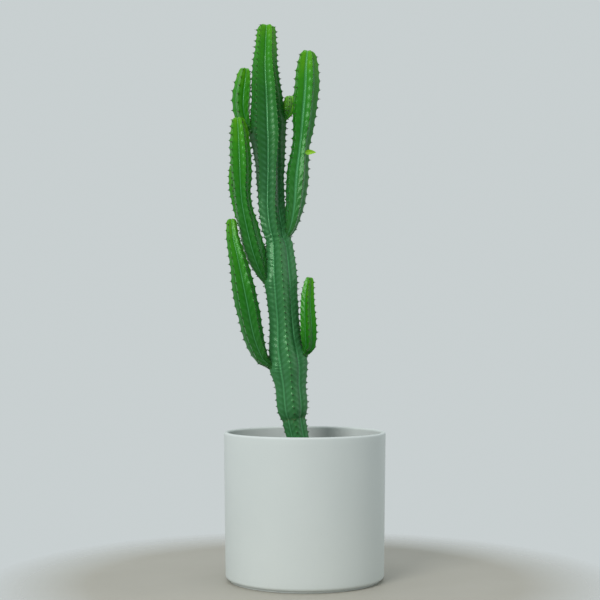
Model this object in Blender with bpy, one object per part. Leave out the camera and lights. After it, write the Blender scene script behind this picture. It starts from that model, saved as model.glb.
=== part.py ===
"""Potted euphorbia: one ribbed main stem with seven branches and a leaf, rooted in a plain round pot.

Metres, +Z up, -Y to the front. The origin is the middle of the pot's foot.
"""

import math

import bmesh
import bpy
from mathutils import Vector

MM = 0.001
GAP = 0.3 * MM

# Pot: a thrown cylinder that narrows a little towards its recessed foot.
POT_HEIGHT = 0.200
RIM_RADIUS = 0.110
HEEL_RADIUS = 0.1075
WALL = 0.006
LIP_ROUND = 0.0028
HEEL_ROUND = 0.005
FOOT_HEIGHT = 0.0024
FOOT_INSET = 0.0055
FLOOR_THICKNESS = 0.010
FLOOR_ROUND = 0.008
POT_SEGMENTS = 72
ARC_STEPS = 3

# Soil: a filling that stops short of the lip and rises a little around the stem.
SOIL_TOP = 0.172
SOIL_MOUND = 0.0035
SOIL_LUMP = 0.0012
SOIL_RINGS = (0.22, 0.42, 0.62, 0.82)
SOIL_SEGMENTS = 48

# Stems: five ribs around a core, closed by a round end at both ends. The rib samples run
# from one side of a rib's crest, at 0, to the bottom of the groove after it, at 1.
RIBS = 5
RIB_STEP = 2.0 * math.pi / RIBS
RIB_SAMPLES = (-0.42, -0.07, 0.07, 0.42, 1.0)
RING_SPACING = 0.010
END_STEPS = 3
BASE_ROUND = 0.004

# Each stem is (x, y, z, rib radius) in millimetres along its middle, from the buried or
# joined end to the tip. "turn" is where the first rib points at each end, in degrees from
# the front towards +X. "core" is the groove radius as a share of the rib radius at each
# end, and "fill" bends the rib's sides: under 1 is a thin wing, over 1 is a full, old rib.
MAIN_STEM = {
    "path": (
        (0, 0, 126, 12), (-6, 0, 172, 15), (-13, 0, 206, 16), (-15, 0, 217, 17),
        (-17, 0, 232, 22), (-20, 0, 262, 22.5), (-23, 1, 291, 26), (-27, 1, 320, 24.5),
        (-29, 0, 353, 21.4), (-33, -1, 408, 23.2), (-35.5, -1, 447, 19.8), (-39, -1, 465, 18),
        (-43.5, 0, 484, 20.2), (-47, 0, 510, 19.8), (-48.5, 0, 560, 21.2), (-50.7, 0, 613, 25.6),
        (-52.5, 0, 660, 22.6), (-54.3, 0, 705, 18.2), (-52.5, 0, 757, 13),
    ),
    "turn": (2, 8, 8, 36, 36),
    "core": (0.84, 0.82, 0.76, 0.56, 0.50),
    "fill": (1.6, 1.5, 1.2, 0.9, 0.85),
    "tip": 0.009,
}
BRANCHES = {
    "branch_upper_left": {
        "path": (
            (-70.5, 7, 608, 5), (-76.5, 9, 615, 6.5), (-83, 11, 626, 10), (-87, 13, 643, 12.6),
            (-87, 14, 662, 13.6), (-84.5, 14, 682, 11.6), (-82, 14, 700, 7.5),
        ),
        "turn": (-20, -20),
        "core": (0.62, 0.55),
        "fill": (1.0, 0.9),
        "tip": 0.008,
    },
    "branch_mid_left": {
        "path": (
            (-50, -8, 401, 5), (-55.5, -10, 409, 6.8), (-62, -14, 425, 11.5), (-69.5, -16, 448, 15.4),
            (-77.5, -18, 480, 14.2), (-84.5, -20, 517, 12.2), (-87, -20, 566, 15.4),
            (-89, -20, 603, 13.8), (-91, -20, 626, 9),
        ),
        "turn": (24, 32),
        "core": (0.66, 0.58),
        "fill": (1.1, 0.9),
        "tip": 0.009,
    },
    "branch_back_left": {
        "path": (
            (-45, 13, 431, 5), (-52, 20, 439, 6.5), (-62, 27, 451, 9), (-74, 35, 467, 10),
            (-85, 42, 493, 10.2), (-93, 44, 520, 10.2), (-97.5, 45, 546, 10), (-98.7, 45, 570, 7),
        ),
        "turn": (-27, -27),
        "core": (0.62, 0.56),
        "fill": (1.0, 0.9),
        "tip": 0.006,
    },
    "branch_low_left": {
        "path": (
            (-43, -9, 287, 5), (-50, -13, 292.5, 6.5), (-58, -17, 301, 10), (-65.5, -23, 319, 13.4),
            (-71.5, -28, 341, 15.4), (-80.5, -34, 388, 16.4), (-90, -36, 434, 12.2),
            (-96, -36, 461, 9.2), (-98.6, -36, 486.5, 7),
        ),
        "turn": (40, 40),
        "core": (0.66, 0.60),
        "fill": (1.1, 0.9),
        "tip": 0.008,
    },
    "branch_upper_right": {
        "path": (
            (-27, -1, 464, 5), (-21.5, -4, 472.5, 6.8), (-17, -8, 487, 10), (-13.2, -10, 511, 13.8),
            (-10.5, -10, 547, 16), (-5.5, -10, 590, 13), (-1.5, -10, 628, 16.4),
            (1.8, -10, 666, 18.2), (3, -10, 697, 16), (4.5, -10, 719, 10.5),
        ),
        "turn": (34, 28),
        "core": (0.72, 0.56),
        "fill": (1.2, 0.9),
        "tip": 0.010,
    },
    "branch_small_right": {
        "path": (
            (-31, 7, 624, 3.6), (-27, 10, 630.5, 4.4), (-22.7, 14, 640, 8.4),
            (-20.6, 16, 651, 9.4), (-20.3, 17, 662, 6.5),
        ),
        "turn": (-5, -5),
        "core": (0.64, 0.58),
        "fill": (1.0, 0.9),
        "tip": 0.006,
    },
    "branch_low_right": {
        "path": (
            (-3, -5, 303, 5), (2, -7, 310, 6.8), (5.5, -9, 318, 9.4), (5.3, -11, 336, 12),
            (4.2, -12, 358, 11), (3.8, -12, 381, 9.4), (5.4, -12, 398, 7.6), (6.8, -12, 409, 5.5),
        ),
        "turn": (0, 0),
        "core": (0.66, 0.60),
        "fill": (1.1, 0.9),
        "tip": 0.008,
    },
}

# Leaf: a small pointed blade that stands out sideways from a rib of the upper right branch.
LEAF_BASE = (0.0010, -0.0190, 0.5785)
LEAF_TIP = (0.0155, -0.0200, 0.5815)
LEAF_WIDTH = 0.0068
LEAF_THICKNESS = 0.0010
LEAF_STATIONS = 8


def remove_everything():
    for item in list(bpy.data.objects):
        bpy.data.objects.remove(item, do_unlink=True)


def material(name, colour, roughness):
    made = bpy.data.materials.new(name)
    made.use_nodes = True
    shader = made.node_tree.nodes["Principled BSDF"]
    shader.inputs["Base Color"].default_value = (*colour, 1.0)
    shader.inputs["Roughness"].default_value = roughness
    made.diffuse_color = (*colour, 1.0)
    return made


def new_object(name, bm, look):
    bmesh.ops.recalc_face_normals(bm, faces=bm.faces)
    mesh = bpy.data.meshes.new(name)
    bm.to_mesh(mesh)
    bm.free()
    for face in mesh.polygons:
        face.use_smooth = True
    made = bpy.data.objects.new(name, mesh)
    bpy.context.scene.collection.objects.link(made)
    mesh.materials.append(look)
    return made


def skin(bm, rings):
    """Quads between neighbouring rings of vertices. A ring of one vertex is a pole."""
    for low, high in zip(rings, rings[1:]):
        count = max(len(low), len(high))
        for i in range(count):
            j = (i + 1) % count
            corners = [low[i % len(low)], low[j % len(low)], high[j % len(high)], high[i % len(high)]]
            bm.faces.new(list(dict.fromkeys(corners)))


def arc(centre, radius, start, end, steps):
    """Points (r, z) on a quarter-round, with both ends."""
    points = []
    for i in range(steps + 1):
        angle = math.radians(start + (end - start) * i / steps)
        points.append((centre[0] + radius * math.cos(angle), centre[1] + radius * math.sin(angle)))
    return points


def turned(name, profile, look, segments):
    """A closed body turned about Z from a profile that starts and ends on the axis."""
    bm = bmesh.new()
    rings = [[bm.verts.new((0.0, 0.0, profile[0][1]))]]
    for r, z in profile[1:-1]:
        rings.append([
            bm.verts.new((r * math.cos(a), r * math.sin(a), z))
            for a in (2.0 * math.pi * i / segments for i in range(segments))
        ])
    rings.append([bm.verts.new((0.0, 0.0, profile[-1][1]))])
    skin(bm, rings)
    return new_object(name, bm, look)


def wall_radius(z):
    """Outer radius of the pot's straight side at height z."""
    return HEEL_RADIUS + (RIM_RADIUS - HEEL_RADIUS) * z / POT_HEIGHT


def build_pot(look):
    foot_radius = HEEL_RADIUS - FOOT_INSET
    heel = (wall_radius(0.0) - HEEL_ROUND, FOOT_HEIGHT + HEEL_ROUND)
    lip_outer = (RIM_RADIUS - LIP_ROUND, POT_HEIGHT - LIP_ROUND)
    lip_inner = (RIM_RADIUS - WALL + LIP_ROUND, POT_HEIGHT - LIP_ROUND)
    floor_corner = (HEEL_RADIUS - WALL - FLOOR_ROUND, FLOOR_THICKNESS + FLOOR_ROUND)
    profile = [(0.0, 0.0), (foot_radius, 0.0), (foot_radius, FOOT_HEIGHT)]
    profile += arc(heel, HEEL_ROUND, -90, 0, ARC_STEPS)
    profile += arc(lip_outer, LIP_ROUND, 0, 90, ARC_STEPS)
    profile += arc(lip_inner, LIP_ROUND, 90, 180, ARC_STEPS)
    profile += arc(floor_corner, FLOOR_ROUND, 0, -90, ARC_STEPS)
    profile.append((0.0, FLOOR_THICKNESS))
    return turned("pot", profile, look, POT_SEGMENTS)


def soil_height(x, y):
    lumps = math.sin(x * 95.0 + 1.3) * math.sin(y * 83.0 + 0.4)
    mound = max(0.0, 1.0 - math.hypot(x, y) / (RIM_RADIUS - WALL))
    return SOIL_TOP + SOIL_MOUND * mound + SOIL_LUMP * lumps


def build_soil(look):
    bm = bmesh.new()
    top_radius = wall_radius(SOIL_TOP) - WALL - GAP
    low_radius = HEEL_RADIUS - WALL - GAP
    floor = FLOOR_THICKNESS + GAP
    angles = [2.0 * math.pi * i / SOIL_SEGMENTS for i in range(SOIL_SEGMENTS)]

    def ring(radius, height):
        points = [(radius * math.cos(a), radius * math.sin(a)) for a in angles]
        return [bm.verts.new((x, y, height(x, y))) for x, y in points]

    rings = [[bm.verts.new((0.0, 0.0, floor))]]
    for r, z in arc((low_radius - FLOOR_ROUND, floor + FLOOR_ROUND), FLOOR_ROUND, -90, 0, ARC_STEPS):
        rings.append(ring(r, lambda x, y, level=z: level))
    rings.append(ring(top_radius, soil_height))
    for share in reversed(SOIL_RINGS):
        rings.append(ring(top_radius * share, soil_height))
    rings.append([bm.verts.new((0.0, 0.0, soil_height(0.0, 0.0)))])
    skin(bm, rings)
    return new_object("soil", bm, look)


def spread(values, share):
    """The value at a share of the way through evenly spaced values."""
    place = share * (len(values) - 1)
    low = min(int(place), len(values) - 2)
    return values[low] + (values[low + 1] - values[low]) * (place - low)


def smooth_path(points, steps=12):
    """A Catmull-Rom curve through (x, y, z, radius) points, in metres."""
    knots = [Vector(p) * MM for p in points]
    knots = [knots[0] * 2.0 - knots[1]] + knots + [knots[-1] * 2.0 - knots[-2]]
    curve = []
    for a, b, c, d in zip(knots, knots[1:], knots[2:], knots[3:]):
        for i in range(steps):
            t = i / steps
            curve.append(0.5 * (
                2.0 * b + (c - a) * t + (2.0 * a - 5.0 * b + 4.0 * c - d) * t * t
                + (3.0 * b - a - 3.0 * c + d) * t * t * t
            ))
    curve.append(knots[-2])
    return curve


class Spine:
    """The middle line of a stem, read by the distance along it."""

    def __init__(self, plan):
        self.curve = smooth_path(plan["path"])
        self.reach = [0.0]
        for a, b in zip(self.curve, self.curve[1:]):
            self.reach.append(self.reach[-1] + (b.xyz - a.xyz).length)
        self.length = self.reach[-1]

    def at(self, distance):
        """(middle, direction, rib radius) at a distance from the start."""
        i = 1
        while i < len(self.reach) - 1 and self.reach[i] < distance:
            i += 1
        low, high = self.curve[i - 1], self.curve[i]
        share = (distance - self.reach[i - 1]) / (self.reach[i] - self.reach[i - 1])
        here = low.lerp(high, max(0.0, min(1.0, share)))
        before = self.curve[max(0, i - 2)]
        after = self.curve[min(len(self.curve) - 1, i + 1)]
        return here.xyz, (after.xyz - before.xyz).normalized(), here.w


def end_rounding(distance, reach):
    """1 beyond reach, falling to 0 at the end in a quarter of an ellipse."""
    if distance >= reach:
        return 1.0
    return math.sqrt(max(0.0, 1.0 - (1.0 - distance / reach) ** 2))


def stations(length, tip):
    """Distances of the rings, closer together where the ends are rounded."""
    spots = [BASE_ROUND * (1.0 - math.cos(0.5 * math.pi * i / END_STEPS)) for i in range(1, END_STEPS)]
    straight = length - tip - BASE_ROUND
    count = max(2, round(straight / RING_SPACING))
    spots += [BASE_ROUND + straight * i / count for i in range(count + 1)]
    spots += [length - tip * (1.0 - math.sin(0.5 * math.pi * i / END_STEPS)) for i in range(1, END_STEPS)]
    return spots


def stem_mesh(plan, extra=0.0):
    """A closed ribbed stem. extra makes every rib and groove that much larger."""
    spine = Spine(plan)
    bm = bmesh.new()
    rings = [[bm.verts.new(spine.at(0.0)[0] - spine.at(0.0)[1] * extra)]]
    for distance in stations(spine.length, plan["tip"]):
        middle, along, radius = spine.at(distance)
        share = distance / spine.length
        radius *= end_rounding(distance, BASE_ROUND) * end_rounding(spine.length - distance, plan["tip"])
        turn = math.radians(spread(plan["turn"], share))
        core = spread(plan["core"], share)
        fill = spread(plan["fill"], share)
        front = (Vector((0.0, -1.0, 0.0)) + along * along.y).normalized()
        side = along.cross(front)
        ring = []
        for rib in range(RIBS):
            for sample in RIB_SAMPLES:
                angle = turn + RIB_STEP * (rib + 0.5 * sample)
                reach = radius * (core + (1.0 - core) * (1.0 - abs(sample) ** fill)) + extra
                ring.append(bm.verts.new(middle + (front * math.cos(angle) + side * math.sin(angle)) * reach))
        rings.append(ring)
    end, along, _ = spine.at(spine.length)
    rings.append([bm.verts.new(end + along * extra)])
    skin(bm, rings)
    return bm


def cut(target, tool):
    """Takes the tool's shape out of the target and removes the tool."""
    tool.hide_render = True
    tool.display_type = "WIRE"
    boolean = target.modifiers.new("clearance", "BOOLEAN")
    boolean.operation = "DIFFERENCE"
    boolean.solver = "EXACT"
    boolean.object = tool
    graph = bpy.context.evaluated_depsgraph_get()
    fitted = bpy.data.meshes.new_from_object(target.evaluated_get(graph))
    target.modifiers.remove(boolean)
    target.data = fitted
    bpy.data.objects.remove(tool, do_unlink=True)


def build_leaf(look):
    """A thin pointed blade, folded a little along its midrib."""
    bm = bmesh.new()
    base, tip = Vector(LEAF_BASE), Vector(LEAF_TIP)
    along = (tip - base).normalized()
    across = Vector((0.0, 0.0, 1.0)) - along * along.z
    across.normalize()
    face = along.cross(across)
    rings = [[bm.verts.new(base)]]
    for i in range(1, LEAF_STATIONS):
        share = i / LEAF_STATIONS
        half = 0.5 * LEAF_WIDTH * math.sin(math.pi * share ** 0.7) ** 0.8
        thick = 0.5 * LEAF_THICKNESS * (1.15 - share)
        middle = base.lerp(tip, share)
        fold = face * half * 0.35
        rings.append([
            bm.verts.new(middle + across * half + fold),
            bm.verts.new(middle + face * thick),
            bm.verts.new(middle - across * half + fold),
            bm.verts.new(middle - face * thick),
        ])
    rings.append([bm.verts.new(tip)])
    skin(bm, rings)
    return new_object("leaf", bm, look)


def build():
    remove_everything()
    pot_look = material("pot_ceramic", (0.62, 0.65, 0.63), 0.55)
    soil_look = material("potting_mix", (0.045, 0.030, 0.020), 0.95)
    stem_look = material("stem_flesh", (0.07, 0.24, 0.11), 0.35)
    branch_look = material("branch_flesh", (0.09, 0.33, 0.05), 0.35)
    leaf_look = material("leaf_blade", (0.35, 0.62, 0.05), 0.45)

    build_pot(pot_look)
    soil = build_soil(soil_look)
    new_object("main_stem", stem_mesh(MAIN_STEM), stem_look)
    cut(soil, new_object("stem_clearance", stem_mesh(MAIN_STEM, GAP), stem_look))
    for name, plan in BRANCHES.items():
        branch = new_object(name, stem_mesh(plan), branch_look)
        cut(branch, new_object("stem_clearance", stem_mesh(MAIN_STEM, GAP), stem_look))
    leaf = build_leaf(leaf_look)
    cut(leaf, new_object("branch_clearance", stem_mesh(BRANCHES["branch_upper_right"], GAP), leaf_look))


build()
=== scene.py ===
"""Potted euphorbia: the finished look of the ribbed plant and its round pot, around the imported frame."""

import math
import random

import bmesh
import bpy
import numpy as np
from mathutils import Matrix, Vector, noise


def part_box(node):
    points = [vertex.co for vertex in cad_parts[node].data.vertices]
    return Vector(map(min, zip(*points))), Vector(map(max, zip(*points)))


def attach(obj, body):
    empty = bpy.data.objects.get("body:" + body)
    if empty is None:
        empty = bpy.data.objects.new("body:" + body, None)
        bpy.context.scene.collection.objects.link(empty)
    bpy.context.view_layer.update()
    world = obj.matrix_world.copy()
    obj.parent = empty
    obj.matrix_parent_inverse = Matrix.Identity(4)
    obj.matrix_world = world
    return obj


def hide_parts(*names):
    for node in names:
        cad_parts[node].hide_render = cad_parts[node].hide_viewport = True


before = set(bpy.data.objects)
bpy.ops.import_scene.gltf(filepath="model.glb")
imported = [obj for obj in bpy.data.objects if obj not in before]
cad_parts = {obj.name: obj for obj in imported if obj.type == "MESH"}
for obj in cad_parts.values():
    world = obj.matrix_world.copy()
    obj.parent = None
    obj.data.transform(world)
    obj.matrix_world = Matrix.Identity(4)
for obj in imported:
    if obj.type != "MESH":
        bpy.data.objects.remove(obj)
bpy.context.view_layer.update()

MM = 0.001
SEED = 11

# Growth plan, in millimetres, the same as the solids' but for branch_upper_left's shallower
# grooves. Each path point is (x, y, z, rib radius). "turn" is where the first rib points, in
# degrees from the front towards +X, "core" the groove radius as a share of the rib radius, "fill"
# how full the rib's sides are and "margin" how far its thin outer wing stands out of them, each
# spread evenly from base to tip. "tip" is how long the rounding of the tip is, "pitch" the
# distance between thorn pairs and "tooth" how far a crest rises at each pair.
STEMS = {
    "main_stem": {
        "path": (
            (0, 0, 126, 12), (-6, 0, 172, 15), (-13, 0, 206, 16), (-15, 0, 217, 17),
            (-17, 0, 232, 22), (-20, 0, 262, 22.5), (-23, 1, 291, 26), (-27, 1, 320, 24.5),
            (-29, 0, 353, 21.4), (-33, -1, 408, 23.2), (-35.5, -1, 447, 19.8), (-39, -1, 465, 18),
            (-43.5, 0, 484, 20.2), (-47, 0, 510, 19.8), (-48.5, 0, 560, 21.2), (-50.7, 0, 613, 25.6),
            (-52.5, 0, 660, 22.6), (-54.3, 0, 705, 18.2), (-52.5, 0, 757, 13),
        ),
        "turn": (2, 8, 8, 36, 36),
        "core": (0.84, 0.82, 0.76, 0.56, 0.50),
        "fill": (1.6, 1.5, 1.2, 0.9, 0.85),
        "margin": (0.06, 0.10, 0.14, 0.22, 0.22),
        "tip": 9, "pitch": 8.6, "tooth": 1.3,
    },
    "branch_upper_left": {
        "path": (
            (-70.5, 7, 608, 5), (-76.5, 9, 615, 6.5), (-83, 11, 626, 10), (-87, 13, 643, 12.6),
            (-87, 14, 662, 13.6), (-84.5, 14, 682, 11.6), (-82, 14, 700, 7.5),
        ),
        "turn": (-20, -20), "core": (0.74, 0.70), "fill": (1.0, 0.9), "margin": (0.14, 0.20),
        "tip": 8, "pitch": 12.5, "tooth": 1.1,
    },
    "branch_mid_left": {
        "path": (
            (-50, -8, 401, 5), (-55.5, -10, 409, 6.8), (-62, -14, 425, 11.5), (-69.5, -16, 448, 15.4),
            (-77.5, -18, 480, 14.2), (-84.5, -20, 517, 12.2), (-87, -20, 566, 15.4),
            (-89, -20, 603, 13.8), (-91, -20, 626, 9),
        ),
        "turn": (24, 32), "core": (0.66, 0.58), "fill": (1.1, 0.9), "margin": (0.12, 0.20),
        "tip": 9, "pitch": 10.5, "tooth": 1.2,
    },
    "branch_back_left": {
        "path": (
            (-45, 13, 431, 5), (-52, 20, 439, 6.5), (-62, 27, 451, 9), (-74, 35, 467, 10),
            (-85, 42, 493, 10.2), (-93, 44, 520, 10.2), (-97.5, 45, 546, 10), (-98.7, 45, 570, 7),
        ),
        "turn": (-27, -27), "core": (0.62, 0.56), "fill": (1.0, 0.9), "margin": (0.14, 0.20),
        "tip": 6, "pitch": 9.5, "tooth": 1.1,
    },
    "branch_low_left": {
        "path": (
            (-43, -9, 287, 5), (-50, -13, 292.5, 6.5), (-58, -17, 301, 10), (-65.5, -23, 319, 13.4),
            (-71.5, -28, 341, 15.4), (-80.5, -34, 388, 16.4), (-90, -36, 434, 12.2),
            (-96, -36, 461, 9.2), (-98.6, -36, 486.5, 7),
        ),
        "turn": (40, 40), "core": (0.66, 0.60), "fill": (1.1, 0.9), "margin": (0.12, 0.20),
        "tip": 8, "pitch": 11.5, "tooth": 1.0,
    },
    "branch_upper_right": {
        "path": (
            (-27, -1, 464, 5), (-21.5, -4, 472.5, 6.8), (-17, -8, 487, 10), (-13.2, -10, 511, 13.8),
            (-10.5, -10, 547, 16), (-5.5, -10, 590, 13), (-1.5, -10, 628, 16.4),
            (1.8, -10, 666, 18.2), (3, -10, 697, 16), (4.5, -10, 719, 10.5),
        ),
        "turn": (34, 28), "core": (0.72, 0.56), "fill": (1.2, 0.9), "margin": (0.12, 0.20),
        "tip": 10, "pitch": 12.0, "tooth": 1.1,
    },
    "branch_small_right": {
        "path": (
            (-31, 7, 624, 3.6), (-27, 10, 630.5, 4.4), (-22.7, 14, 640, 8.4),
            (-20.6, 16, 651, 9.4), (-20.3, 17, 662, 6.5),
        ),
        "turn": (-5, -5), "core": (0.64, 0.58), "fill": (1.0, 0.9), "margin": (0.12, 0.16),
        "tip": 6, "pitch": 7.5, "tooth": 0.8,
    },
    "branch_low_right": {
        "path": (
            (-3, -5, 303, 5), (2, -7, 310, 6.8), (5.5, -9, 318, 9.4), (5.3, -11, 336, 12),
            (4.2, -12, 358, 11), (3.8, -12, 381, 9.4), (5.4, -12, 398, 7.6), (6.8, -12, 409, 5.5),
        ),
        "turn": (0, 0), "core": (0.66, 0.60), "fill": (1.1, 0.9), "margin": (0.12, 0.18),
        "tip": 8, "pitch": 9.0, "tooth": 1.0,
    },
}
RIBS = 5
RIB_STEP = 2.0 * math.pi / RIBS
# Places of the skin's points across half a rib, from crest 0 to groove 1.
HALF_RIB = (0.0, 0.045, 0.09, 0.14, 0.20, 0.28, 0.38, 0.50, 0.62, 0.74, 0.84, 0.91, 0.96, 1.0)
RING_SPACING = 1.1 * MM
CROWN_POWER = 3.8
TIP_RISE = 1.1 * MM
TIP_RISE_REACH = 25 * MM
BASE_ROUND = 4 * MM
FULL_AGE = 330 * MM
GROOVE_ROUNDING = 0.15
TOOTH_GIRTH = 12 * MM

# Pinched rings round the main stem, as (height, depth, reach) in millimetres. The low one is
# corky too.
CREASES = ((217.5, 0.7, 2.6), (464.5, 1.0, 1.8), (459.5, 0.7, 1.4), (470.0, 0.5, 1.4))
CORKY_BELOW = 300

# The swelling of a rib of the main stem below the branch that stands on it.
SEAT_BULGE = 2.0 * MM
SEAT_DROP = 9 * MM
SEAT_REACH = 13 * MM

# Ring sizes and heights of a cushion as shares of its size, and ring places along a thorn.
CUSHION_AROUND = 8
CUSHION_RINGS = ((1.0, -0.45), (0.96, 0.0), (0.70, 0.42), (0.35, 0.62))
THORN_AROUND = 6
THORN_RINGS = (0.0, 0.3, 0.65)
THORN_THICK = 0.25 * MM
THORN_CURVE = 0.16

# Pot and soil, in metres, the same as the solids'.
POT_HEIGHT = 0.200
RIM_RADIUS = 0.110
HEEL_RADIUS = 0.1075
WALL = 0.006
LIP_ROUND = 0.0028
HEEL_ROUND = 0.005
FOOT_HEIGHT = 0.0024
FOOT_INSET = 0.0055
FLOOR_THICKNESS = 0.010
FLOOR_ROUND = 0.008
SOIL_TOP = 0.172
SOIL_MOUND = 0.0035
SOIL_LUMP = 0.0012
POT_AROUND = 256
SOIL_AROUND = 180

# How far the soil keeps off the pot's inside, and how far out and how near the stem's middle
# loose bits lie.
SKIN_GAP = 0.0003
LITTER_REACH = 0.1005
LITTER_GAP = 0.0165

LEAF_HALF_WIDTH = 3.3 * MM
LEAF_ROWS = 34
LEAF_COLUMNS = 15

# Brightness of the surroundings before and behind the object.
SKY_FRONT = 0.355
SKY_BACK = 0.635

# Each light's name, place, aim, size, power and colour.
LIGHTS = (
    ("key", (-0.90, -1.67, 1.22), (0.0, 0.0, 0.38), (0.80, 1.3), 25.0, (1.0, 0.99, 0.975)),
    ("top", (0.0, -0.10, 1.9), (0.0, 0.0, 0.2), (1.2, 1.2), 6.0, (1.0, 1.0, 1.0)),
    ("side", (1.80, -0.35, 0.80), (0.0, 0.0, 0.40), (0.9, 1.2), 2.6, (1.0, 1.0, 0.98)),
)

# The floor, in metres, and the share of its reach where it starts to fade.
FLOOR_REACH = 0.44
FLOOR_FADE = 0.66
FLOOR_DROP = -0.0001
FLOOR_AROUND = 128
FLOOR_RINGS = 24

# Camera, as the object is seen from the front.
CAMERA_AT = (0.0, -1.796, 0.330)
CAMERA_TILT = 1.574
CAMERA_PAN = 0.207
CAMERA_LENS = 78.84


# ---------------------------------------------------------------- helpers

def new_piece(name, mesh, *looks, stands_for=None, slot=None):
    """Links a mesh as a piece on the one body, in place of a solid where one is named."""
    piece = bpy.data.objects.new(name, mesh)
    bpy.context.scene.collection.objects.link(piece)
    for look in looks:
        mesh.materials.append(look)
    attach(piece, "root")
    if stands_for:
        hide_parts(stands_for)
    return piece


def mesh_from(name, points, faces, smooth=True):
    mesh = bpy.data.meshes.new(name)
    mesh.from_pydata([tuple(p) for p in points], [], [tuple(f) for f in faces])
    mesh.polygons.foreach_set("use_smooth", [smooth] * len(mesh.polygons))
    mesh.update()
    return mesh


def store(mesh, name, values):
    """Keeps one number per vertex on the mesh, for its material."""
    numbers = np.asarray(values, np.float32).ravel()
    mesh.attributes.new(name, "FLOAT", "POINT").data.foreach_set("value", numbers)


def bands(rings, around):
    """Quads over rings of the same size, each ring's points in turn."""
    faces = []
    for ring in range(rings - 1):
        low, high = ring * around, (ring + 1) * around
        for i in range(around):
            j = (i + 1) % around
            faces.append((low + i, low + j, high + j, high + i))
    return faces


def shell(rings, around):
    """Bands over rings of the same size, with a triangle fan from a pole at each end."""
    faces = bands(rings, around)
    low, high = rings * around, rings * around + 1
    for i in range(around):
        j = (i + 1) % around
        faces.append((low, j, i))
        faces.append((high, (rings - 1) * around + i, (rings - 1) * around + j))
    return faces


def spread(values, share):
    return np.interp(share, np.linspace(0.0, 1.0, len(values)), values)


# ---------------------------------------------------------------- stems

class Spine:
    """A stem's middle line, with its rib radius and frame, read by the distance along it."""

    def __init__(self, plan):
        self.plan = plan
        knots = np.array(plan["path"], float) * MM
        knots = np.vstack([2 * knots[0] - knots[1], knots, 2 * knots[-1] - knots[-2]])
        t = np.linspace(0.0, 1.0, 24, endpoint=False)[:, None]
        parts = []
        for a, b, c, d in zip(knots, knots[1:], knots[2:], knots[3:]):
            parts.append(0.5 * (
                2 * b + (c - a) * t + (2 * a - 5 * b + 4 * c - d) * t ** 2 + (3 * b - a - 3 * c + d) * t ** 3
            ))
        self.curve = np.vstack(parts + [knots[-2:-1]])
        steps = np.linalg.norm(np.diff(self.curve[:, :3], axis=0), axis=1)
        self.reach = np.concatenate([[0.0], np.cumsum(steps)])
        self.length = self.reach[-1]

    def middle(self, s):
        return np.stack([np.interp(s, self.reach, self.curve[:, i]) for i in range(3)], -1)

    def girth(self, s):
        return np.interp(s, self.reach, self.curve[:, 3])

    def axes(self, s):
        """The direction along the stem, the way to the front across it, and the way to the side."""
        step = 3 * MM
        along = self.middle(np.minimum(s + step, self.length)) - self.middle(np.maximum(s - step, 0.0))
        along /= np.linalg.norm(along, axis=-1, keepdims=True)
        front = np.array([0.0, -1.0, 0.0]) + along * along[..., 1:2]
        front /= np.linalg.norm(front, axis=-1, keepdims=True)
        return along, front, np.cross(along, front)

    def nearest(self, point):
        """Distance along the stem of the place closest to a point."""
        s = np.linspace(0.0, self.length, 800)
        return s[np.argmin(np.linalg.norm(self.middle(s) - point, axis=1))]


def turn_there(spine, s):
    """Where the first rib points at a place along a stem, in radians."""
    return np.radians(spread(spine.plan["turn"], s / spine.length))


def crown(distance, reach, power):
    """1 beyond reach from an end, falling to 0 at it, more squarely for a larger power."""
    share = np.clip(distance / reach, 0.0, 1.0)
    return (1.0 - (1.0 - share) ** power) ** (1.0 / power)


def tip_rise(from_tip):
    """How far the last stretch of a stem is drawn up towards its tip."""
    return TIP_RISE * np.clip(1.0 - from_tip / TIP_RISE_REACH, 0.0, 1.0)


def teeth_count(spine):
    """Places along a stem, and how many thorn pairs there are on a rib from the base to each."""
    pitch = spine.plan["pitch"] * MM
    fine = np.linspace(0.0, spine.length, 1500)
    from_tip = spine.length - fine
    # Pairs stand closer together near the tip.
    local = pitch * (0.62 + 0.38 * (1.0 - np.exp(-from_tip / (14 * MM))))
    count = np.concatenate([[0.0], np.cumsum(np.diff(fine) / local[1:])])
    return fine, count


def rib_offsets(name):
    """Where the thorn pairs of each rib start, so that neighbouring ribs don't match."""
    rng = random.Random(f"{SEED} {name}")
    first = rng.random()
    return [(first + 0.4 * rib + rng.uniform(-0.05, 0.05)) % 1.0 for rib in range(RIBS)]


def branch_seats(spine):
    """(distance, rib) of each place where a branch leaves the main stem."""
    seats = []
    for name, plan in STEMS.items():
        if name == "main_stem":
            continue
        start = np.array(plan["path"][1][:3]) * MM
        s = spine.nearest(start)
        _, front, side = spine.axes(np.array([s]))
        out = start - spine.middle(np.array([s]))[0]
        angle = math.atan2(out @ side[0], out @ front[0])
        rib = round((angle - float(turn_there(spine, s))) / RIB_STEP) % RIBS
        seats.append((s, rib))
    return seats


def seat_bulge(s, seat):
    """How far a rib swells out at a place, for the branch that stands on it at its seat."""
    return SEAT_BULGE * np.exp(-((s - seat + SEAT_DROP) / SEAT_REACH) ** 2)


def tooth_height(plan, girth):
    """How far a crest rises at its thorn pairs, where the rib radius is girth."""
    return plan["tooth"] * MM * np.clip(girth / TOOTH_GIRTH, 0.6, 1.1)


def rib_profile(across, core, fill, margin):
    """Share of the rib radius at |across| from crest 0 to groove 1: a full base, a thin wing and a
    rounded groove bottom."""
    wing = np.exp(-(across / 0.12) ** 1.5)
    rise = (1.0 - margin) * (1.0 - across ** fill) + margin * wing
    soft = GROOVE_ROUNDING
    rise = (np.sqrt(rise ** 2 + soft ** 2) - soft) / (math.sqrt(1.0 + soft ** 2) - soft)
    return core + (1.0 - core) * rise


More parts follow.
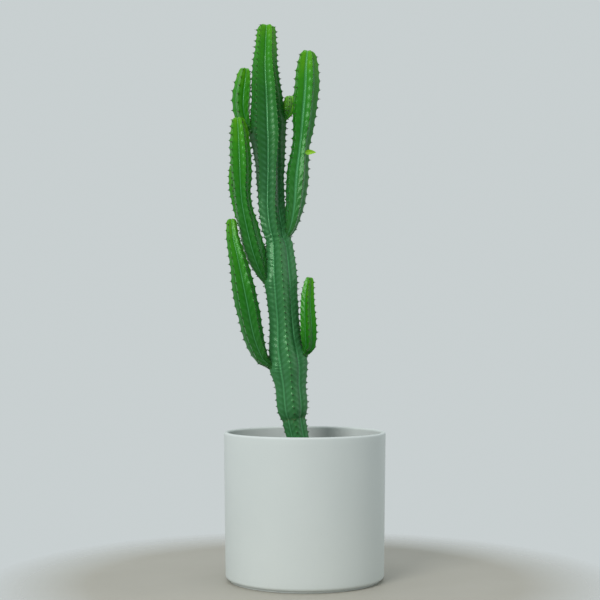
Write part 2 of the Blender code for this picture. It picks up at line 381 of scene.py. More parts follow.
def stem_form(name, plan):
    """A stem's middle line, the points of its rings and its attributes per point."""
    spine = Spine(plan)
    tip = plan["tip"] * MM
    s = np.arange(0.35 * MM, spine.length - tip, RING_SPACING)
    # The last rings crowd together, so that the tip closes round.
    close = spine.length - tip * (1.0 - np.sin(np.linspace(0.0, 0.5 * math.pi, 16)[:-1])) - 0.02 * MM
    s = np.concatenate([s, close])
    share = s / spine.length
    from_tip = spine.length - s

    half = np.array(HALF_RIB)
    signed = np.concatenate([-half[:0:-1][1:], half])
    across = np.abs(signed)
    columns = len(signed)
    rib_of = np.repeat(np.arange(RIBS), columns)
    signed = np.tile(signed, RIBS)
    across = np.tile(across, RIBS)

    core = spread(plan["core"], share)[:, None]
    fill = spread(plan["fill"], share)[:, None]
    margin = spread(plan["margin"], share)[:, None]
    offsets = np.array(rib_offsets(name))
    phase = np.interp(s, *teeth_count(spine))[:, None] + offsets[rib_of][None, :]

    profile = rib_profile(across[None, :], core, fill, margin)
    base_end = crown(s, BASE_ROUND, 2.0)[:, None]
    top_crest = crown(from_tip, tip, CROWN_POWER)[:, None]
    top_groove = crown(from_tip, tip * 1.2, 3.0)[:, None]
    blend = across[None, :] ** 0.7
    end = base_end * (top_crest * (1.0 - blend) + top_groove * blend)
    girth = spine.girth(s)[:, None]
    radius = girth * profile * end

    # Teeth: the crest rises to each thorn pair and dips between them, and each pair's cushion
    # stands on a low swelling that runs down the rib's side.
    peak = (0.5 + 0.5 * np.cos(2.0 * math.pi * phase)) ** 2.2
    worn = (1.0 - 0.45 * np.clip(from_tip / FULL_AGE, 0.0, 1.0) ** 2)[:, None]
    tooth = tooth_height(plan, girth) * worn
    radius += tooth * (peak - 0.35) * np.exp(-(across[None, :] / 0.17) ** 2) * end
    slant = np.cos(2.0 * math.pi * (phase + 0.9 * across[None, :]))
    swell = np.sin(math.pi * np.clip(across, 0.0, 1.0))[None, :] ** 1.2
    radius += 0.13 * MM * slant * swell * end

    # Slow unevenness along each rib.
    for k, (rate, size) in enumerate(((41.0, 0.45), (97.0, 0.22))):
        wave = np.sin(rate * s[:, None] * 2.0 + 1.7 * rib_of[None, :] + 2.3 * k)
        share_of_rib = (1.0 - 0.5 * across[None, :]) * end * np.clip(girth / (15 * MM), 0.3, 1.0)
        radius += size * MM * wave * share_of_rib

    # The main stem swells below each branch, with folds of skin round it, and has pinched rings.
    # A branch has a pinched ring and small folds near its start.
    scar = np.zeros_like(radius)
    if name == "main_stem":
        for seat, rib in branch_seats(spine):
            gap = (rib_of - rib) % RIBS
            own = np.where(gap == 0, 1.0, 0.0)[None, :] * (1.0 - across[None, :] ** 2)
            radius += own * seat_bulge(s[:, None], seat)
            fold = np.exp(-((s[:, None] - (seat - 12 * MM)) / (9 * MM)) ** 2)
            near = np.where((gap == 0) | (gap == 1) | (gap == RIBS - 1), 1.0, 0.0)[None, :]
            reach = np.where(gap[None, :] == 0, 1.0, np.exp(-((1.0 - across[None, :]) / 0.5) ** 2))
            wave = np.sin(2.0 * math.pi * (s[:, None] / (4.4 * MM) + 0.6 * across[None, :]))
            radius += 0.26 * MM * wave * fold * near * reach
        for level, depth, reach in CREASES:
            height_at = np.interp(level * MM, spine.curve[:, 2], spine.reach)
            at = spine.nearest(spine.middle(np.array([height_at]))[0])
            dip = np.exp(-((s[:, None] - at + 1.5 * MM * np.cos(2.0 * signed[None, :])) / (reach * MM)) ** 2)
            radius -= depth * MM * dip
            scar += 0.5 * dip * (level < CORKY_BELOW)
    else:
        ring = np.exp(-((s[:, None] - 7 * MM) / (2.2 * MM)) ** 2)
        radius -= 0.7 * MM * ring
        fold = np.exp(-((s[:, None] - 10 * MM) / (8 * MM)) ** 2)
        radius += 0.22 * MM * np.sin(2.0 * math.pi * s[:, None] / (3.6 * MM)) * fold

    angle = turn_there(spine, s)[:, None] + RIB_STEP * (rib_of + 0.5 * signed)[None, :]
    along, front, side = spine.axes(s)
    middle = spine.middle(s)
    points = (
        middle[:, None, :]
        + front[:, None, :] * (np.cos(angle) * radius)[..., None]
        + side[:, None, :] * (np.sin(angle) * radius)[..., None]
    )
    # The crown's middle sinks a little below its crests.
    sink = (1.0 - top_crest) * 1.2 * MM
    rise = tip_rise(from_tip)[:, None] - sink * (0.12 + 0.88 * across[None, :])
    points += along[:, None, :] * rise[..., None]

    # How near each point is to a branch's base: the mask for the painted shade at its neck.
    neck = np.exp(-s / (7 * MM)) if name != "main_stem" else np.zeros_like(s)
    ones = np.ones_like(radius)
    facts = {
        "across": across[None, :] * ones,
        "teeth": phase,
        "age": np.clip(from_tip / FULL_AGE, 0.0, 1.0)[:, None] * ones,
        "neck": neck[:, None] * ones,
        "scar": np.clip(scar, 0.0, 1.0),
        "tooth_peak": peak * np.exp(-(across[None, :] / 0.10) ** 2),
    }
    return spine, points, facts


def build_stem(name, plan, look):
    spine, points, facts = stem_form(name, plan)
    rings, around, _ = points.shape
    along = spine.axes(np.array([0.0, spine.length]))[0]
    low = spine.middle(np.array([0.0]))[0]
    high = spine.middle(np.array([spine.length]))[0] - along[1] * 3.4 * MM
    flat = np.vstack([points.reshape(-1, 3), low, high])
    mesh = mesh_from(name + "_skin", flat, shell(rings, around))
    for key, values in facts.items():
        ends = [values[0].mean(), values[-1].mean()]
        store(mesh, key, np.concatenate([values.ravel(), ends]))
    slot = "stem_flesh" if name == "main_stem" else "branch_flesh"
    return new_piece(name + "_skin", mesh, look, stands_for=name, slot=slot)


# ---------------------------------------------------------------- thorns

def thorn_places(name, plan):
    """(place, out, along, age, size) for each thorn pair of a stem."""
    spine = Spine(plan)
    fine, count = teeth_count(spine)
    seats = branch_seats(spine) if name == "main_stem" else []
    rng = random.Random(f"{SEED} thorns {name}")
    places = []
    for rib, offset in enumerate(rib_offsets(name)):
        for k in range(1, int(count[-1] + offset) + 1):
            s = float(np.interp(k - offset, count, fine))
            if k - offset < 0 or s > spine.length - 1.2 * MM or (name != "main_stem" and s < 11 * MM):
                continue
            if any(rib == seat_rib and -3 * MM < s - seat < 9 * MM for seat, seat_rib in seats):
                continue
            at = np.array([s])
            along, front, side = (axis[0] for axis in spine.axes(at))
            angle = float(turn_there(spine, s)) + RIB_STEP * rib
            out = front * math.cos(angle) + side * math.sin(angle)
            girth = spine.girth(at)[0]
            end = crown(spine.length - s, plan["tip"] * MM, CROWN_POWER) * crown(s, BASE_ROUND, 2.0)
            bulge = sum(seat_bulge(s, seat) for seat, seat_rib in seats if seat_rib == rib)
            tooth = tooth_height(plan, girth)
            sink = (1.0 - end) * 0.4 * MM
            place = spine.middle(at)[0] + out * (girth * end + bulge + 0.65 * tooth * end)
            place = place + along * (tip_rise(spine.length - s) - sink)
            if place[2] < SOIL_TOP + 4 * MM:
                continue
            lean = 1.0 - end
            direction = out * (1.0 - 0.6 * lean) + along * (0.10 + 1.0 * lean)
            direction /= np.linalg.norm(direction)
            age = min(1.0, (spine.length - s) / FULL_AGE)
            places.append((place, direction, along, age, rng.uniform(0.8, 1.15) * (1.0 - 0.22 * age)))
    return places, rng


def cushion(place, out, along, size):
    """A low oval shield that the thorns stand on."""
    side = np.cross(along, out)
    points = []
    for wide, high in CUSHION_RINGS:
        for i in range(CUSHION_AROUND):
            a = 2.0 * math.pi * i / CUSHION_AROUND
            drop = 1.25 if math.sin(a) < 0 else 1.0
            points.append(
                place + along * math.sin(a) * wide * 1.25 * drop * size * MM
                + side * math.cos(a) * wide * 0.85 * size * MM + out * high * size * MM
            )
    faces = bands(len(CUSHION_RINGS), CUSHION_AROUND)
    faces.append(tuple(range(len(points) - CUSHION_AROUND, len(points))))
    faces.append(tuple(reversed(range(CUSHION_AROUND))))
    return points, faces


def thorn(start, direction, bend, length):
    """A tapering, slightly curved thorn."""
    across = np.cross(direction, bend)
    across /= np.linalg.norm(across)
    up = np.cross(across, direction)
    points = []
    for share in THORN_RINGS:
        middle = start + direction * length * share + bend * length * THORN_CURVE * share ** 2
        reach = THORN_THICK * (1.0 - share) ** 0.8
        for i in range(THORN_AROUND):
            a = 2.0 * math.pi * i / THORN_AROUND
            points.append(middle + (across * math.cos(a) + up * math.sin(a)) * reach)
    faces = bands(len(THORN_RINGS), THORN_AROUND)
    last, point = len(points) - THORN_AROUND, len(points)
    faces += [(last + i, last + (i + 1) % THORN_AROUND, point) for i in range(THORN_AROUND)]
    faces.append(tuple(reversed(range(THORN_AROUND))))
    points.append(start + direction * length + bend * length * THORN_CURVE)
    return points, faces


def build_thorns(name, plan, cushion_look, thorn_look):
    places, rng = thorn_places(name, plan)
    points, faces, looks, ages = [], [], [], []

    def add(part, look, age):
        base = len(points)
        points.extend(part[0])
        faces.extend(tuple(base + i for i in face) for face in part[1])
        looks.extend([look] * len(part[1]))
        ages.extend([age] * len(part[0]))

    for place, out, along, age, size in places:
        side = np.cross(along, out)
        add(cushion(place, out, along, size * (0.78 + 0.22 * age)), 0, age)
        for way in (-1, 1):
            direction = out * 0.86 + side * way * rng.uniform(0.42, 0.62) + along * rng.uniform(-0.14, 0.10)
            direction /= np.linalg.norm(direction)
            bend = side * way * rng.uniform(-0.4, 0.6) + along * rng.uniform(-0.6, 0.5)
            length = size * rng.uniform(2.1, 3.1) * MM
            start = place + out * 0.25 * MM + side * way * 0.25 * MM
            add(thorn(start, direction, bend / np.linalg.norm(bend), length), 1, age)
    mesh = mesh_from(name + "_thorns", points, faces)
    mesh.polygons.foreach_set("material_index", looks)
    store(mesh, "age", ages)
    return new_piece(name + "_thorns", mesh, cushion_look, thorn_look, slot="branch_flesh")


# ---------------------------------------------------------------- pot and soil

def arc(centre, radius, start, end, steps):
    angles = np.radians(np.linspace(start, end, steps + 1))
    return [(centre[0] + radius * math.cos(a), centre[1] + radius * math.sin(a)) for a in angles]


def line(start, end, steps):
    """Points from start to end, without the two ends."""
    shares = np.linspace(0.0, 1.0, steps + 1)[1:-1]
    return [(start[0] + (end[0] - start[0]) * t, start[1] + (end[1] - start[1]) * t) for t in shares]


def wall_radius(z):
    return HEEL_RADIUS + (RIM_RADIUS - HEEL_RADIUS) * z / POT_HEIGHT


def turned(name, profile, around):
    """A mesh turned about Z from a profile that starts and ends on the axis."""
    angles = np.linspace(0.0, 2.0 * math.pi, around, endpoint=False)
    points = []
    for r, z in profile[1:-1]:
        points += [(r * math.cos(a), r * math.sin(a), z) for a in angles]
    rings = len(profile) - 2
    points += [(0.0, 0.0, profile[0][1]), (0.0, 0.0, profile[-1][1])]
    return mesh_from(name, points, shell(rings, around))


def build_pot(look):
    steps = 10
    heel = (wall_radius(0.0) - HEEL_ROUND, FOOT_HEIGHT + HEEL_ROUND)
    lip_outer = (RIM_RADIUS - LIP_ROUND, POT_HEIGHT - LIP_ROUND)
    lip_inner = (RIM_RADIUS - WALL + LIP_ROUND, POT_HEIGHT - LIP_ROUND)
    corner = (HEEL_RADIUS - WALL - FLOOR_ROUND, FLOOR_THICKNESS + FLOOR_ROUND)
    foot = HEEL_RADIUS - FOOT_INSET
    ease = 0.0006
    profile = [(0.0, 0.0), (foot * 0.5, 0.0), (foot - ease * 2, 0.0)]
    profile += arc((foot - ease, ease), ease, -90, 0, 3)
    profile += [(foot, FOOT_HEIGHT - ease), (foot + ease, FOOT_HEIGHT)]
    profile += arc(heel, HEEL_ROUND, -90, 0, steps)
    profile += line((wall_radius(0.0), FOOT_HEIGHT + HEEL_ROUND), (RIM_RADIUS, POT_HEIGHT - LIP_ROUND), 24)
    profile += arc(lip_outer, LIP_ROUND, 0, 90, steps)
    profile += arc(lip_inner, LIP_ROUND, 90, 180, steps)
    inner_foot = (HEEL_RADIUS - WALL, FLOOR_THICKNESS + FLOOR_ROUND)
    profile += line((RIM_RADIUS - WALL, POT_HEIGHT - LIP_ROUND), inner_foot, 20)
    profile += arc(corner, FLOOR_ROUND, 0, -90, steps)
    profile.append((0.0, FLOOR_THICKNESS))
    mesh = turned("pot_shell", profile, POT_AROUND)
    return new_piece("pot_shell", mesh, look, stands_for="pot", slot="pot_ceramic")


def soil_height(x, y):
    lumps = math.sin(x * 95.0 + 1.3) * math.sin(y * 83.0 + 0.4)
    mound = max(0.0, 1.0 - math.hypot(x, y) / (RIM_RADIUS - WALL))
    rough = noise.noise(Vector((x, y, 0.0)) * 160.0) * 0.0011
    rough += noise.noise(Vector((x, y, 0.4)) * 420.0) * 0.0006
    return SOIL_TOP + SOIL_MOUND * mound + SOIL_LUMP * lumps + rough


def build_soil(look):
    angles = np.linspace(0.0, 2.0 * math.pi, SOIL_AROUND, endpoint=False)
    top = wall_radius(SOIL_TOP) - WALL - SKIN_GAP
    low = HEEL_RADIUS - WALL - SKIN_GAP
    floor = FLOOR_THICKNESS + SKIN_GAP
    rings = arc((low - FLOOR_ROUND, floor + FLOOR_ROUND), FLOOR_ROUND, -90, 0, 5)
    points = [(r * math.cos(a), r * math.sin(a), z) for r, z in rings for a in angles]
    shares = np.linspace(1.0, 0.0, 56)[:-1]
    for share in shares:
        for a in angles:
            x, y = top * share * math.cos(a), top * share * math.sin(a)
            points.append((x, y, soil_height(x, y)))
    points += [(0.0, 0.0, floor), (0.0, 0.0, soil_height(0.0, 0.0))]
    mesh = mesh_from("soil_bed", points, shell(len(rings) + len(shares), SOIL_AROUND))
    return new_piece("soil_bed", mesh, look, stands_for="soil", slot="potting_mix")


def scatter(name, look, count, size, flat, seed):
    """Loose bits lying on the soil, clear of the stem and the wall."""
    rng = random.Random(f"{SEED} {seed}")
    trunk = Spine(STEMS["main_stem"])
    foot = trunk.middle(np.array([np.interp(SOIL_TOP, trunk.curve[:, 2], trunk.reach)]))[0]
    bm = bmesh.new()
    for _ in range(count):
        a, r = rng.uniform(0.0, 2.0 * math.pi), LITTER_REACH * math.sqrt(rng.random())
        x, y = r * math.cos(a), r * math.sin(a)
        if math.hypot(x - foot[0], y - foot[1]) < LITTER_GAP:
            continue
        across = rng.uniform(*size)
        made = bmesh.ops.create_icosphere(bm, subdivisions=1, radius=0.5)["verts"]
        shape = Vector((rng.uniform(0.7, 1.4), rng.uniform(0.6, 1.0), flat * rng.uniform(0.7, 1.3))) * across
        turn = rng.uniform(0.0, math.pi)
        tilt = rng.uniform(-0.35, 0.35)
        base = soil_height(x, y) + shape.z * 0.22
        for v in made:
            p = Vector((v.co.x * shape.x, v.co.y * shape.y, v.co.z * shape.z)) * rng.uniform(0.82, 1.12)
            p.yz = p.y * math.cos(tilt) - p.z * math.sin(tilt), p.y * math.sin(tilt) + p.z * math.cos(tilt)
            v.co = (
                x + p.x * math.cos(turn) - p.y * math.sin(turn),
                y + p.x * math.sin(turn) + p.y * math.cos(turn),
                base + p.z,
            )
    mesh = bpy.data.meshes.new(name)
    bm.to_mesh(mesh)
    bm.free()
    mesh.polygons.foreach_set("use_smooth", [False] * len(mesh.polygons))
    return new_piece(name, mesh, look, slot="potting_mix")


# ---------------------------------------------------------------- leaf

def build_leaf(look):
    """A small pointed blade with a sunken midrib, laid out from its solid's box."""
    lo, hi = (np.array(c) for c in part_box("leaf"))
    middle = 0.5 * (lo + hi)
    base = np.array([lo[0] - 1.0 * MM, middle[1] - 0.6 * MM, middle[2] - 1.2 * MM])
    tip = np.array([hi[0], middle[1], middle[2] + 0.3 * MM])
    length = np.linalg.norm(tip - base)
    along = (tip - base) / length
    across = np.array([0.0, 0.0, 1.0]) - along * along[2]
    across /= np.linalg.norm(across)
    face = np.cross(along, across)
    rows, columns = LEAF_ROWS, LEAF_COLUMNS
    points = []
    for side in (1, -1):
        for i in range(rows):
            t = i / (rows - 1)
            wide = LEAF_HALF_WIDTH * (math.sin(math.pi * min(1.0, t ** 0.62)) ** 0.85 + 0.10 * (1.0 - t))
            droop = -0.9 * MM * t ** 2 + 0.5 * MM * math.sin(3.0 * t)
            for j in range(columns):
                u = 2.0 * j / (columns - 1) - 1.0
                cup = abs(u) ** 1.5 * wide * 0.45
                rib = -0.20 * MM * math.exp(-(u / 0.16) ** 2)
                ripple = 0.10 * MM * math.sin(11.0 * t + 2.0) * abs(u)
                thick = 0.42 * MM * (1.0 - 0.55 * t) * (1.0 - 0.75 * abs(u) ** 3)
                points.append(
                    base + along * length * t + across * (u * wide + droop)
                    + face * (cup + rib + ripple + side * thick)
                )
    faces = []
    size = rows * columns
    for i in range(rows - 1):
        for j in range(columns - 1):
            a, b = i * columns + j, i * columns + j + 1
            c, d = b + columns, a + columns
            faces.append((a, b, c, d))
            faces.append((size + d, size + c, size + b, size + a))
    loop = [i * columns for i in range(rows)] + [(rows - 1) * columns + j for j in range(1, columns)]
    loop += [i * columns + columns - 1 for i in range(rows - 2, -1, -1)]
    loop += list(range(columns - 2, 0, -1))
    for a, b in zip(loop, loop[1:] + loop[:1]):
        faces.append((a, size + a, size + b, b))
    mesh = mesh_from("leaf_blade", points, faces)
    store(mesh, "along_leaf", np.tile(np.repeat(np.linspace(0.0, 1.0, rows), columns), 2))
    store(mesh, "off_midrib", np.tile(np.abs(np.linspace(-1.0, 1.0, columns)), 2 * rows))
    return new_piece("leaf_blade", mesh, look, stands_for="leaf", slot="leaf_blade")


# ---------------------------------------------------------------- materials

TIP_GREEN = (0.085, 0.330, 0.002)
HALF_GREEN = (0.012, 0.165, 0.003)
GROWN_GREEN = (0.020, 0.150, 0.018)
OLD_GREEN = (0.034, 0.165, 0.042)


class Tree:
    """Short ways to make and join a material's nodes."""

    def __init__(self, name, **sockets):
        self.material = bpy.data.materials.new(name)
        self.material.use_nodes = True
        self.nodes = self.material.node_tree.nodes
        self.links = self.material.node_tree.links
        self.shader = self.nodes["Principled BSDF"]
        for socket, value in sockets.items():
            self.shader.inputs[socket.replace("_", " ")].default_value = value

    def put(self, socket, value):
        if isinstance(value, bpy.types.NodeSocket):
            self.links.new(value, socket)
        else:
            socket.default_value = value

    def number(self, name):
        node = self.nodes.new("ShaderNodeAttribute")
        node.attribute_name = name
        return node.outputs["Fac"]

    def place(self):
        return self.nodes.new("ShaderNodeTexCoord").outputs["Object"]

    def math(self, operation, *values, clamp=False):
        node = self.nodes.new("ShaderNodeMath")
        node.operation = operation
        node.use_clamp = clamp
        for socket, value in zip(node.inputs, values):
            self.put(socket, value)
        return node.outputs[0]

    def noise(self, scale, detail=3.0):
        node = self.nodes.new("ShaderNodeTexNoise")
        node.inputs["Scale"].default_value = scale
        node.inputs["Detail"].default_value = detail
        node.inputs["Roughness"].default_value = 0.55
        self.put(node.inputs["Vector"], self.place())
        return node.outputs["Fac"]

    def remap(self, value, low, high, to_low=0.0, to_high=1.0):
        node = self.nodes.new("ShaderNodeMapRange")
        self.put(node.inputs["Value"], value)
        for key, number in (("From Min", low), ("From Max", high), ("To Min", to_low), ("To Max", to_high)):
            node.inputs[key].default_value = number
        return node.outputs["Result"]

    def ramp(self, value, *stops):
        node = self.nodes.new("ShaderNodeValToRGB")
        elements = node.color_ramp.elements
        while len(elements) < len(stops):
            elements.new(0.5)
        for element, (place, colour) in zip(elements, stops):
            element.position = place
            element.color = (*colour, 1.0)
        self.put(node.inputs["Fac"], value)
        return node.outputs["Color"]

    def mix(self, share, a, b):
        node = self.nodes.new("ShaderNodeMix")
        node.data_type = "RGBA"
        self.put(node.inputs["Factor"], share)
        self.put(node.inputs[6], a if isinstance(a, bpy.types.NodeSocket) else (*a, 1.0))
        self.put(node.inputs[7], b if isinstance(b, bpy.types.NodeSocket) else (*b, 1.0))
        return node.outputs[2]

    def bump(self, height, distance, strength=1.0):
        node = self.nodes.new("ShaderNodeBump")
        node.inputs["Strength"].default_value = strength
        node.inputs["Distance"].default_value = distance
        self.put(node.inputs["Height"], height)
        self.links.new(node.outputs["Normal"], self.shader.inputs["Normal"])

    def colour(self, value):
        self.put(self.shader.inputs["Base Color"], value)

    def roughness(self, value):
        self.put(self.shader.inputs["Roughness"], value)


def flesh_material(name, grown, old, pale, tip=TIP_GREEN, half=HALF_GREEN, seam_and_highlight=(0.87, 0.96)):
    """Waxy succulent skin: fresh at the tip, deeper and bluer with age, with slanting pale bands
    on the rib sides, a pale seam along each groove that is partly the skin's own and partly a
    painted highlight, painted shade on the groove walls beside it and painted shade where a branch joins."""
    t = Tree(name, IOR=1.46, Specular_Tint=(0.38, 1.0, 0.44, 1.0), Coat_Weight=0.20, Coat_Roughness=0.12)
    age, across = t.number("age"), t.number("across")
    blotch = t.noise(38.0, 4.0)
    fine = t.noise(210.0, 3.0)
    uneven_age = t.math("ADD", age, t.math("MULTIPLY", t.math("SUBTRACT", blotch, 0.5), 0.20))
    green = t.ramp(
        uneven_age,
        (0.0, tip), (0.10, (0.030, 0.240, 0.002)), (0.30, half),
        (0.60, grown), (1.0, old),
    )
    # Slanting bands, one per thorn pair, strongest half way down the rib's side.
    slope = t.math("ADD", t.number("teeth"), t.math("MULTIPLY", across, 0.9))
    slope = t.math("ADD", slope, t.math("MULTIPLY", t.noise(90.0, 2.0), 0.35))
    band = t.remap(t.math("SINE", t.math("MULTIPLY", slope, 2.0 * math.pi)), -0.4, 0.9)
    inside = t.math("ABSOLUTE", t.math("SUBTRACT", t.math("MULTIPLY", across, 1.9), 1.05))
    middle = t.math("SUBTRACT", 1.0, inside, clamp=True)
    band_share = t.math("MULTIPLY", t.math("MULTIPLY", band, middle), t.remap(age, 0.10, 0.60, 0.04, 0.50))
    green = t.mix(band_share, green, t.mix(0.55, green, pale))
    # Painted shade on the groove walls beside the pale seam of each groove, a paler tone along the wing, and
    # flecks.
    groove_shade = t.math("MULTIPLY", t.remap(across, 0.60, 0.76), t.remap(across, 0.84, 0.92, 1.0, 0.0))
    green = t.mix(t.math("MULTIPLY", groove_shade, 0.28), green, (0.006, 0.065, 0.014))
    # Pale seam in each groove bottom: partly the skin's own pale line, partly a painted highlight.
    green = t.mix(t.remap(across, *seam_and_highlight, 0.0, 0.58), green, (0.095, 0.370, 0.150))
    edge = t.math("MULTIPLY", t.remap(across, 0.02, 0.10), t.remap(across, 0.12, 0.22, 1.0, 0.0))
    green = t.mix(t.math("MULTIPLY", edge, 0.16), green, (0.060, 0.280, 0.050))
    green = t.mix(t.remap(fine, 0.60, 0.76, 0.0, 0.10), green, (0.080, 0.300, 0.080))
    # Brown at the crest round each thorn cushion and on old scars, and painted shade darkening the necks
    # where branches join.
    green = t.mix(t.remap(t.number("tooth_peak"), 0.45, 1.0, 0.0, 0.20), green, (0.045, 0.070, 0.018))
    # Painted shade where each branch joins the main stem.
    neck = t.math("MULTIPLY", t.number("neck"), t.remap(blotch, 0.3, 0.7, 0.55, 0.95))
    green = t.mix(neck, green, (0.020, 0.040, 0.010))
    corky = t.math("MULTIPLY", t.number("scar"), t.remap(t.noise(330.0, 2.0), 0.56, 0.66))
    green = t.mix(corky, green, (0.190, 0.130, 0.070))
    t.colour(green)
    t.roughness(t.math("ADD", t.remap(blotch, 0.3, 0.7, 0.26, 0.36), t.remap(fine, 0.3, 0.7, -0.02, 0.04)))
    grain = t.math("ADD", t.math("MULTIPLY", t.noise(700.0, 2.0), 0.35), t.math("MULTIPLY", fine, 0.65))
    t.bump(t.math("ADD", grain, t.math("MULTIPLY", band_share, 1.2)), 0.00016, 0.38)
    return t.material


def cushion_material():
    t = Tree("thorn_cushion")
    tone = t.noise(900.0, 3.0)
    t.colour(t.ramp(
        tone, (0.30, (0.020, 0.070, 0.016)), (0.55, (0.035, 0.095, 0.026)), (0.78, (0.080, 0.130, 0.050)),
    ))
    t.roughness(t.remap(tone, 0.3, 0.7, 0.55, 0.8))
    t.bump(t.noise(1600.0, 2.0), 0.0001, 0.6)
    return t.material


def thorn_material():
    t = Tree("thorn")
    tone = t.noise(420.0, 3.0)
    worn = t.remap(t.number("age"), 0.55, 0.95, 0.0, 0.75)
    warm = t.ramp(
        tone, (0.30, (0.030, 0.016, 0.011)), (0.52, (0.075, 0.036, 0.022)), (0.75, (0.150, 0.085, 0.052)),
    )
    t.colour(t.mix(worn, warm, (0.052, 0.085, 0.040)))
    t.roughness(t.remap(tone, 0.3, 0.7, 0.35, 0.5))
    t.bump(t.noise(1500.0, 2.0), 0.00005, 0.4)
    return t.material


def pot_material():
    """Matte, very slightly green off-white ceramic with fine grit."""
    t = Tree("matte_ceramic", IOR=1.45)
    cloud = t.noise(7.0, 4.0)
    speck = t.noise(520.0, 3.0)
    base = t.ramp(cloud, (0.30, (0.655, 0.710, 0.698)), (0.70, (0.695, 0.748, 0.734)))
    base = t.mix(t.remap(speck, 0.62, 0.74, 0.0, 0.35), base, (0.580, 0.628, 0.614))
    t.colour(base)
    t.roughness(t.remap(t.noise(60.0, 3.0), 0.3, 0.7, 0.48, 0.60))
    t.bump(t.math("ADD", speck, t.math("MULTIPLY", t.noise(1400.0, 2.0), 0.5)), 0.00012, 0.35)
    return t.material


def soil_material():
    t = Tree("potting_mix")
    clump = t.noise(70.0, 5.0)
    grit = t.noise(650.0, 4.0)
    base = t.ramp(
        clump, (0.25, (0.010, 0.007, 0.005)), (0.50, (0.030, 0.019, 0.012)), (0.75, (0.070, 0.046, 0.028)),
    )
    base = t.mix(t.remap(grit, 0.60, 0.68, 0.0, 0.8), base, (0.110, 0.075, 0.048))
    t.colour(base)
    t.roughness(t.remap(clump, 0.3, 0.7, 0.82, 0.98))
    t.bump(t.math("ADD", grit, clump), 0.0016, 0.9)
    return t.material


def bit_material(name, low, high, rough):
    t = Tree(name)
    tone = t.noise(300.0, 3.0)
    t.colour(t.ramp(tone, (0.32, low), (0.68, high)))
    t.roughness(t.remap(tone, 0.3, 0.7, rough - 0.1, rough))
    t.bump(t.noise(1100.0, 3.0), 0.0004, 0.8)
    return t.material


def leaf_material():
    t = Tree("young_leaf", IOR=1.45)
    off, along = t.number("off_midrib"), t.number("along_leaf")
    vein = t.math("SINE", t.math("ADD", t.math("MULTIPLY", along, 60.0), t.math("MULTIPLY", off, -9.0)))
    base = t.ramp(
        along, (0.0, (0.090, 0.330, 0.004)), (0.45, (0.240, 0.540, 0.006)), (1.0, (0.300, 0.600, 0.010)),
    )
    base = t.mix(t.remap(vein, 0.4, 1.0, 0.0, 0.22), base, (0.380, 0.680, 0.060))
    base = t.mix(t.remap(off, 0.0, 0.14, 0.55, 0.0), base, (0.420, 0.720, 0.080))
    base = t.mix(t.remap(t.noise(260.0, 3.0), 0.5, 0.75, 0.0, 0.4), base, (0.200, 0.480, 0.020))
    t.colour(base)
    t.roughness(t.remap(t.noise(180.0, 2.0), 0.3, 0.7, 0.34, 0.48))
    t.bump(t.math("ADD", vein, t.noise(900.0, 2.0)), 0.00008, 0.5)
    return t.material


# ---------------------------------------------------------------- stage, light and camera

def build_stage():
    """A pale round floor that fades out softly into the pale surroundings."""
    angles = np.linspace(0, 2 * math.pi, FLOOR_AROUND, endpoint=False)
    points = []
    for ring in range(1, FLOOR_RINGS + 1):
        r = FLOOR_REACH * ring / FLOOR_RINGS
        points += [(r * math.cos(a), r * math.sin(a), FLOOR_DROP) for a in angles]
    points.append((0.0, 0.0, FLOOR_DROP))
    faces = [(len(points) - 1, i, (i + 1) % FLOOR_AROUND) for i in range(FLOOR_AROUND)]
    faces += [face[::-1] for face in bands(FLOOR_RINGS, FLOOR_AROUND)]
    mesh = mesh_from("floor", points, faces)
    t = Tree("pale_floor")
    tone = t.noise(3.0, 3.0)
    t.colour(t.ramp(tone, (0.3, (0.425, 0.408, 0.355)), (0.7, (0.465, 0.447, 0.390))))
    t.roughness(t.remap(t.noise(9.0, 3.0), 0.3, 0.7, 0.55, 0.65))
    apart = t.nodes.new("ShaderNodeVectorMath")
    apart.operation = "LENGTH"
    t.links.new(t.place(), apart.inputs[0])
    fade = t.remap(apart.outputs["Value"], FLOOR_FADE * FLOOR_REACH, FLOOR_REACH, 1.0, 0.0)
    t.put(t.shader.inputs["Alpha"], fade)
    mesh.materials.append(t.material)
    floor = bpy.data.objects.new("floor", mesh)
    bpy.context.scene.collection.objects.link(floor)


def area_light(name, place, aim, size, power, colour):
    data = bpy.data.lights.new(name, "AREA")
    data.shape = "RECTANGLE"
    data.size, data.size_y = size
    data.energy = power
    data.color = colour
    light = bpy.data.objects.new(name, data)
    light.location = place
    light.rotation_mode = "QUATERNION"
    light.rotation_quaternion = (Vector(aim) - Vector(place)).to_track_quat("-Z", "Y")
    bpy.context.scene.collection.objects.link(light)


def build_light():
    """Pale surroundings, dimmer towards the front, and a broad soft key light from the left front
    with a weak one above and another on the right."""
    world = bpy.data.worlds.new("studio")
    world.use_nodes = True
    nodes, links = world.node_tree.nodes, world.node_tree.links
    facing = nodes.new("ShaderNodeTexCoord")
    parts = nodes.new("ShaderNodeSeparateXYZ")
    links.new(facing.outputs["Generated"], parts.inputs[0])
    level = nodes.new("ShaderNodeMapRange")
    level.inputs["From Min"].default_value = -0.7
    level.inputs["From Max"].default_value = 0.7
    level.inputs["To Min"].default_value = SKY_FRONT
    level.inputs["To Max"].default_value = SKY_BACK
    level.interpolation_type = "SMOOTHSTEP"
    links.new(parts.outputs["Y"], level.inputs["Value"])
    sky = nodes["Background"]
    sky.inputs["Color"].default_value = (0.915, 0.99, 1.0, 1.0)
    links.new(level.outputs["Result"], sky.inputs["Strength"])
    bpy.context.scene.world = world
    for light in LIGHTS:
        area_light(*light)


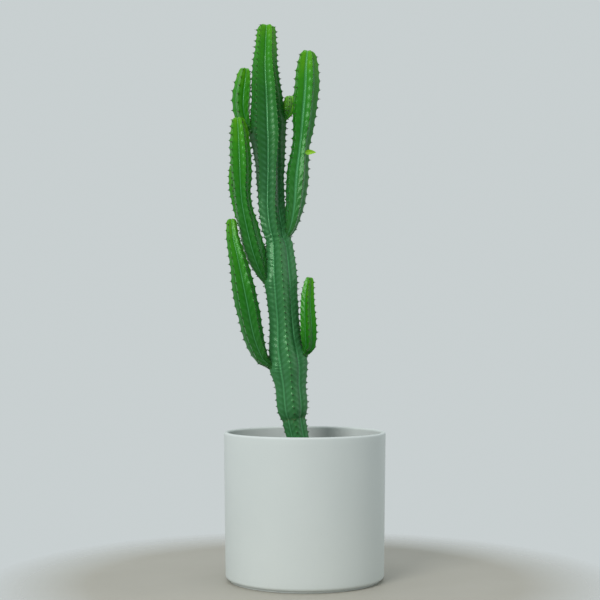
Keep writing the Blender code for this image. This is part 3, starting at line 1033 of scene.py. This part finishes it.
def build_camera():
    data = bpy.data.cameras.new("camera")
    data.lens = CAMERA_LENS
    data.sensor_width = 36.0
    data.clip_start, data.clip_end = 0.05, 30.0
    camera = bpy.data.objects.new("camera", data)
    camera.location = CAMERA_AT
    camera.rotation_euler = (math.radians(90.0 + CAMERA_TILT), 0.0, math.radians(CAMERA_PAN))
    bpy.context.scene.collection.objects.link(camera)
    bpy.context.scene.camera = camera


# ---------------------------------------------------------------- assembly

stem_look = flesh_material(
    "stem_skin", (0.020, 0.118, 0.030), (0.042, 0.190, 0.060), (0.105, 0.340, 0.160),
    half=(0.013, 0.128, 0.010),
)
branch_look = flesh_material("branch_skin", GROWN_GREEN, OLD_GREEN, (0.090, 0.330, 0.100))
# Pale seams widened into a painted highlight along branch_upper_right's grooves.
highlight_seam_look = flesh_material(
    "highlight_seam_skin", GROWN_GREEN, OLD_GREEN, (0.090, 0.330, 0.100), seam_and_highlight=(0.70, 0.84),
)
# branch_small_right's skin made paler all over: painted light, brightening a branch that the main stem
# shades.
painted_light_look = flesh_material(
    "painted_light_skin", GROWN_GREEN, OLD_GREEN, (0.200, 0.520, 0.120), tip=(0.190, 0.520, 0.040),
)
# branch_upper_right's pale seams are wider, as a painted highlight along its grooves, and branch_small_right
# is paler all over, as painted light on a branch that the main stem shades.
own_looks = {"main_stem": stem_look, "branch_upper_right": highlight_seam_look, "branch_small_right": painted_light_look}
cushion_look = cushion_material()
thorn_look = thorn_material()
for stem_name, stem_plan in STEMS.items():
    build_stem(stem_name, stem_plan, own_looks.get(stem_name, branch_look))
    build_thorns(stem_name, stem_plan, cushion_look, thorn_look)
build_leaf(leaf_material())
build_pot(pot_material())
build_soil(soil_material())
crumb_look = bit_material("crumb", (0.012, 0.008, 0.005), (0.060, 0.038, 0.022), 0.95)
perlite_look = bit_material("perlite_grain", (0.520, 0.510, 0.480), (0.760, 0.750, 0.720), 0.9)
bark_look = bit_material("bark", (0.045, 0.022, 0.011), (0.160, 0.085, 0.045), 0.9)
scatter("soil_crumbs", crumb_look, 900, (0.0012, 0.0042), 0.75, "crumbs")
scatter("perlite", perlite_look, 110, (0.0014, 0.0034), 0.85, "perlite")
scatter("bark_bits", bark_look, 90, (0.004, 0.010), 0.32, "bark")
build_stage()
build_light()
build_camera()
bpy.context.scene.view_settings.view_transform = "Standard"
